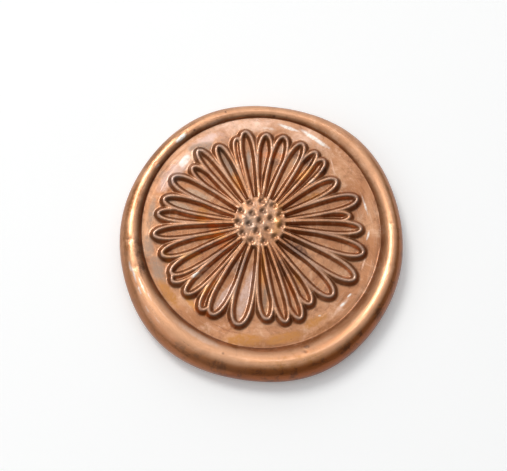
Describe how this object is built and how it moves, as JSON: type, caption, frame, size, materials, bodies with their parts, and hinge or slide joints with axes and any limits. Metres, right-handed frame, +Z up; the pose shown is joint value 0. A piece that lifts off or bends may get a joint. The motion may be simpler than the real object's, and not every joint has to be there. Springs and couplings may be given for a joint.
{
  "type": "wax seal",
  "caption": "Round self-adhesive wax seal: a cast disc with a rolled rim and a raised daisy, an adhesive dot on its back and a release liner with a tab.",
  "frame": {"origin": "middle of the pool of wax, on the surface that the liner lies on", "axes": "+Z up out of the stamped face, +Y away from the viewer of the picture, +X to the viewer's right"},
  "size_m": [0.0296, 0.0298, 0.0031],
  "materials": {
    "copper_wax": "pearly copper sealing wax, marbled with gold and rust, semi-gloss",
    "adhesive_tape": "milky double-sided tape, tacky and slightly shiny",
    "liner_paper": "cream silicone-coated release paper, satin"
  },
  "bodies": {
    "liner": {"release_liner": "liner_paper"},
    "seal": {"wax_seal": "copper_wax", "adhesive_dot": "adhesive_tape"}
  },
  "joints": [
    {"name": "lift_off_liner", "type": "slide", "parent": "liner", "child": "seal", "axis": [0, 0, 1], "range_m": [0, 0.015]}
  ]
}
